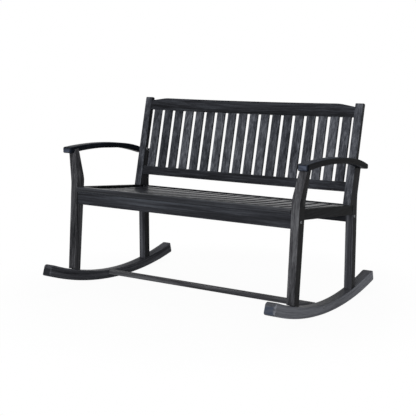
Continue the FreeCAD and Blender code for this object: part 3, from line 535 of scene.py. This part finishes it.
def soften(nodes):
    """Rounds the arrises of the boards and pads a little, as sanding does."""
    for name, node in nodes.items():
        if name in ("frame_bolts", "barrel_nuts", "back_bolts"):
            continue
        join = node.modifiers.new("join", "WELD")
        join.merge_threshold = JOINED * MM
        sand = node.modifiers.new("sand", "BEVEL")
        sand.width = SANDED * MM
        sand.segments = SANDED_FACETS
        sand.limit_method = "ANGLE"
        sand.angle_limit = math.radians(SANDED_ANGLE)
        sand.harden_normals = True


def drawn_in(radii, along):
    """How far rounded corners of those radii draw in at a distance from the end."""
    return [radius - math.sqrt(radius ** 2 - (radius - along) ** 2) if along < radius else 0.0
            for radius in radii]


def arc_height(y, arcs):
    """Height over y of the arc that holds there."""
    crown, radius = next((crown, radius) for limit, crown, radius in arcs if y < limit)
    return crown[1] - radius + math.sqrt(radius ** 2 - (y - crown[0]) ** 2)


def arm_section(along_front, along_rear):
    """Upright section of an arm at a distance from its ends: (y, z) low and high, x in and out."""
    y = ARM_FRONT + along_front
    full = min(1.0, max(0.0, (ARM_FULL_Y[1] - y) / (ARM_FULL_Y[1] - ARM_FULL_Y[0])))
    smooth_full = full * full * (3 - 2 * full)
    low = max(arc_height(y, ARM_UNDER_ARCS) - ARM_FULL * smooth_full, ARM_HEEL)
    high = arc_height(y, ARM_TOP_ARCS)
    inner = ARM_IN_FRONT + (LEG_OUT - ARM_IN_FRONT) * min(1.0, along_front / ARM_TAPER_LONG)
    nose = drawn_in(ARM_NOSE, along_front)
    stern = drawn_in(ARM_STERN, along_rear)
    return ((y, low + nose[0] + stern[0]), (y, high - nose[1] - stern[1]),
            (inner + nose[2] + stern[2], ARM_OUT - nose[3] - stern[3]))


def runner_section(along_front, along_rear):
    """Section of a runner, square to its sole, at a distance along the sole from its ends."""
    swing = math.radians(RUNNER_ENDS[0]) + along_front / RUNNER_BEND[2]
    ray = Vector((math.sin(swing), -math.cos(swing)))
    sole_middle = Vector(RUNNER_BEND[:2])
    apart = sole_middle - Vector(CROWN_BEND[:2])
    ahead = ray.dot(apart)
    crown = -ahead + math.sqrt(ahead ** 2 - apart.length_squared + CROWN_BEND[2] ** 2)
    front_share = max(0.0, 1 - along_front / TIP_LONG[0])
    rear_share = max(0.0, 1 - along_rear / TIP_LONG[1])
    front = drawn_in(RUNNER_FRONT, along_front)
    rear = drawn_in(RUNNER_REAR, along_rear)
    low = RUNNER_BEND[2] - SOLE_LIFT * front_share ** 2 - front[0] - rear[0]
    high = crown + CROWN_DROP[0] * front_share ** 2 + CROWN_DROP[1] * rear_share ** 2
    high += front[1] + rear[1]
    return (sole_middle + ray * low, sole_middle + ray * high,
            (RUNNER_IN + front[2] + rear[2], RUNNER_OUT - front[3] - rear[3]))


def bent_board(name, section, long, tips, ease, hand, node, material):
    """Bent board whose section changes along it, with rounded tips and eased arrises."""
    quarter = math.pi / 2
    middle = long - tips[0] - tips[1]
    places = [tips[0] * (1 - math.cos(quarter * step / TIP_STEPS)) for step in range(TIP_STEPS)]
    places += [tips[0] + middle * step / BOARD_STEPS for step in range(BOARD_STEPS)]
    places += [long - tips[1] * (1 - math.sin(quarter * step / TIP_STEPS))
               for step in range(TIP_STEPS + 1)]
    mesh = bmesh.new()
    rings = []
    for along in places:
        low, high, wide = section(along, long - along)
        up = Vector(high) - Vector(low)
        rise = min(ease / up.length, 0.5)
        draw = min(ease, (wide[1] - wide[0]) / 2)
        ring = []
        for corner, (side, top) in enumerate(((1, 0), (1, 1), (0, 1), (0, 0))):
            for step in range(ARRIS_STEPS + 1):
                turn = quarter * (corner + step / ARRIS_STEPS)
                x = wide[side] + draw * (math.sin(turn) - (1 if side else -1))
                share = top + rise * (-math.cos(turn) - (1 if top else -1))
                place = Vector(low) + up * share
                ring.append(mesh.verts.new((hand * x * MM, place.x * MM, place.y * MM)))
        rings.append(ring)
    for before, after in zip(rings, rings[1:]):
        for index in range(len(before)):
            beside = (index + 1) % len(before)
            mesh.faces.new((before[index], before[beside], after[beside], after[index]))
    mesh.faces.new(rings[0])
    mesh.faces.new(rings[-1])
    bmesh.ops.recalc_face_normals(mesh, faces=mesh.faces)
    data = bpy.data.meshes.new(name)
    mesh.to_mesh(data)
    mesh.free()
    data.shade_smooth()
    data.set_sharp_from_angle(angle=math.radians(SHARP_ANGLE))
    piece = bpy.data.objects.new(name, data)
    bpy.context.scene.collection.objects.link(piece)
    data.materials.append(material)
    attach(piece, "root")
    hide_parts(node)


def add_bent_boards(nodes):
    """Arms with a full rounded nose and runners with round tips, in place of the frame's."""
    arm_tips = (max(ARM_NOSE), max(ARM_STERN))
    runner_tips = (max(RUNNER_FRONT), max(RUNNER_REAR))
    runner_long = RUNNER_BEND[2] * math.radians(RUNNER_ENDS[1] - RUNNER_ENDS[0])
    for word, hand in (("left", -1), ("right", 1)):
        arm, runner = "arm_" + word, "runner_" + word
        bent_board(arm + "_rounded", arm_section, ARM_LONG, arm_tips, ARM_EASE, hand,
                   arm, nodes[arm].material_slots[0].material)
        bent_board(runner + "_rounded", runner_section, runner_long, runner_tips, RUNNER_EASE, hand,
                   runner, nodes[runner].material_slots[0].material)


def lathe(rows):
    """Turned mesh about Z from (radius, height, corners) rows; 6 corners make a hexagon."""
    mesh = bmesh.new()
    rings = []
    for radius, height, corners in rows:
        ring = []
        for index in range(TURNED_STEPS):
            angle = 2 * math.pi * index / TURNED_STEPS
            reach = radius
            if corners:
                half = math.pi / corners
                reach = radius / math.cos((angle + half) % (2 * half) - half)
            x, y = reach * math.cos(angle), reach * math.sin(angle)
            ring.append(mesh.verts.new((x * MM, y * MM, height * MM)))
        rings.append(ring)
    for low, high in zip(rings, rings[1:]):
        for index in range(TURNED_STEPS):
            after = (index + 1) % TURNED_STEPS
            mesh.faces.new((low[index], low[after], high[after], high[index]))
    mesh.faces.new(list(reversed(rings[0])))
    mesh.faces.new(rings[-1])
    return mesh


def bolt_rows(long):
    """Shank and button head with a hexagon socket, from the tip of the shank to the socket."""
    rows = [(SHANK_TIP, -long, 0), (SHANK, SHANK_TIP - long, 0), (SHANK, 0.0, 0)]
    rows += [(HEAD * wide, HEAD_TALL * tall, 0) for wide, tall in HEAD_CURVE]
    rows += [(SOCKET, HEAD_TALL, 6), (SOCKET, SOCKET_FLOOR, 6), (*SOCKET_POINT, 0)]
    return rows


def place_all(name, rows, places, material, node):
    """One piece with a turned shape at each (place, outward direction)."""
    whole = bmesh.new()
    for place, outward in places:
        turned = lathe(rows)
        turn = Vector(outward).to_track_quat("Z", "Y").to_matrix().to_4x4()
        shift = Matrix.Translation(Vector(place) * MM)
        bmesh.ops.transform(turned, matrix=shift @ turn, verts=turned.verts)
        part = bpy.data.meshes.new("part")
        turned.to_mesh(part)
        turned.free()
        whole.from_mesh(part)
        bpy.data.meshes.remove(part)
    mesh = bpy.data.meshes.new(name)
    whole.to_mesh(mesh)
    whole.free()
    piece = bpy.data.objects.new(name, mesh)
    bpy.context.scene.collection.objects.link(piece)
    mesh.materials.append(material)
    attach(piece, "root")
    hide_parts(node)


def add_fasteners():
    """Turned bolts with sockets and barrel nuts in place of the plain ones of the frame."""
    steel = zinc_plated_steel()
    frame_places, nut_places, arm_places, post_places = [], [], [], []
    up = Vector((0, math.sin(BACK_LEAN), math.cos(BACK_LEAN)))
    behind = Vector((0, math.cos(BACK_LEAN), -math.sin(BACK_LEAN)))
    deep = POST_DEEP + REAR_LEG_DEEP * math.cos(BACK_LEAN)
    for hand in (-1, 1):
        frame_bolts = ((APRON_BOLT, LEG_OUT), (REAR_BOLT, LEG_OUT), (STRETCHER_BOLT, RUNNER_OUT))
        for (y, z), x in frame_bolts:
            frame_places.append(((hand * x, y, z), (hand, 0, 0)))
        leg_nut = hand * (LEG_IN - NUT_INSET)
        runner_nut = hand * (RUNNER_IN - NUT_INSET)
        nut_places.append(((leg_nut, APRON_BACK_Y, APRON_BOLT[1]), (0, 1, 0)))
        nut_places.append(((leg_nut, REAR_RAIL_BACK_Y, REAR_BOLT[1]), (0, 1, 0)))
        nut_places.append(((runner_nut, STRETCHER_BOLT[0], STRETCHER_LOW_Z), (0, 0, -1)))
        for y, z in ARM_BOLTS:
            arm_places.append(((hand * LEG_IN, y, z), (-hand, 0, 0)))
        for height in POST_BOLTS_UP:
            foot = Vector((hand * LEG_MID, *BACK_FOOT))
            post_places.append((foot + up * height + behind * deep, behind))
    frame_rows, back_rows = bolt_rows(FRAME_BOLT_LONG), bolt_rows(BACK_BOLT_LONG)
    place_all("frame_bolts_turned", frame_rows, frame_places, steel, "frame_bolts")
    place_all("barrel_nuts_turned", NUT_ROWS, nut_places, steel, "barrel_nuts")
    place_all("back_bolts_turned", back_rows, arm_places + post_places, steel, "back_bolts")


def add_camera():
    """Camera where the photograph was taken from."""
    data = bpy.data.cameras.new("camera")
    data.sensor_width = SENSOR_MM
    data.lens = CAMERA_FOCUS_PX / PHOTO_PX * SENSOR_MM
    camera = bpy.data.objects.new("camera", data)
    camera.location = CAMERA_PLACE
    camera.rotation_euler = (math.radians(90 - CAMERA_FALL), 0, math.radians(CAMERA_TURN))
    bpy.context.scene.collection.objects.link(camera)
    bpy.context.scene.camera = camera


def seen(tree):
    """1 for what the camera sees, straight or in gloss or through glass."""
    paths = add_node(tree, "LightPath")
    gloss = add_node(tree, "Math", {"operation": "ADD", "use_clamp": True}, None,
                     {0: paths.outputs["Is Camera Ray"],
                      1: paths.outputs["Is Glossy Ray"]}).outputs["Value"]
    return add_node(tree, "Math", {"operation": "ADD", "use_clamp": True}, None,
                    {0: gloss, 1: paths.outputs["Is Transmission Ray"]}).outputs["Value"]


def add_lamps():
    """A large soft lamp at the right front and one above."""
    for name, (place, size, power) in LAMPS.items():
        data = bpy.data.lights.new(name, "AREA")
        data.shape = "RECTANGLE"
        data.size, data.size_y = size
        data.energy = power
        lamp = bpy.data.objects.new(name, data)
        lamp.location = place
        aim = Vector(LAMP_TARGET) - Vector(place)
        lamp.rotation_euler = aim.to_track_quat("-Z", "Y").to_euler()
        bpy.context.scene.collection.objects.link(lamp)


def add_room():
    """White room that is seen white and lights the bench only a little."""
    world = bpy.data.worlds.new("white_room")
    bpy.context.scene.world = world
    tree = empty_tree(world)
    strength = add_node(tree, "MapRange", None, {"To Min": ROOM_LIGHT, "To Max": ROOM_SEEN},
                        {"Value": seen(tree)}).outputs["Result"]
    light = add_node(tree, "Background", None, {"Color": srgb(PLAIN_WHITE)},
                     {"Strength": strength})
    add_node(tree, "OutputWorld", links={"Surface": light.outputs["Background"]})


def add_floor():
    """Plain white floor that keeps a soft shadow near the runners and is white beyond."""
    material = bpy.data.materials.new("white_paper_floor")
    tree = empty_tree(material)
    matte = add_node(tree, "BsdfDiffuse", None,
                     {"Color": srgb(FLOOR_PAPER), "Roughness": FLOOR_ROUGH})
    white = add_node(tree, "Emission", None, {"Color": srgb(PLAIN_WHITE), "Strength": 1.0})
    place = add_node(tree, "TexCoord").outputs["Object"]
    away = add_node(tree, "VectorMath", {"operation": "LENGTH"}, None, {0: place}).outputs["Value"]
    share = add_node(tree, "MapRange", {"interpolation_type": "SMOOTHSTEP"},
                     {"From Min": FLOOR_FADE[0], "From Max": FLOOR_FADE[1],
                      "To Min": FLOOR_WHITE, "To Max": 1.0}, {"Value": away}).outputs["Result"]
    factor = add_node(tree, "Math", {"operation": "MULTIPLY"}, None,
                      {0: share, 1: seen(tree)}).outputs["Value"]
    mixed = add_node(tree, "MixShader", None, None,
                     {"Fac": factor, 1: matte.outputs["BSDF"], 2: white.outputs["Emission"]})
    add_node(tree, "OutputMaterial", links={"Surface": mixed.outputs["Shader"]})
    bpy.ops.mesh.primitive_plane_add(size=FLOOR_SIDE)
    floor = bpy.context.object
    floor.name = "floor"
    floor.data.materials.append(material)


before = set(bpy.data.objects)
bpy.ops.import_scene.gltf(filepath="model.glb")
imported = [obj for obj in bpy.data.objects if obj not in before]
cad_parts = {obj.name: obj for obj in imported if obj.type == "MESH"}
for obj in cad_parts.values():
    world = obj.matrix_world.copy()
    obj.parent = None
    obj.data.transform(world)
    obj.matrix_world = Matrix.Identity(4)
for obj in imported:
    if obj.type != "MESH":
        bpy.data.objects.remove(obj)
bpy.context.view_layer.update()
dress(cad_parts)
soften(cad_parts)
add_bent_boards(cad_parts)
add_fasteners()
add_camera()
add_lamps()
add_room()
add_floor()
bpy.context.scene.view_settings.view_transform = "Standard"
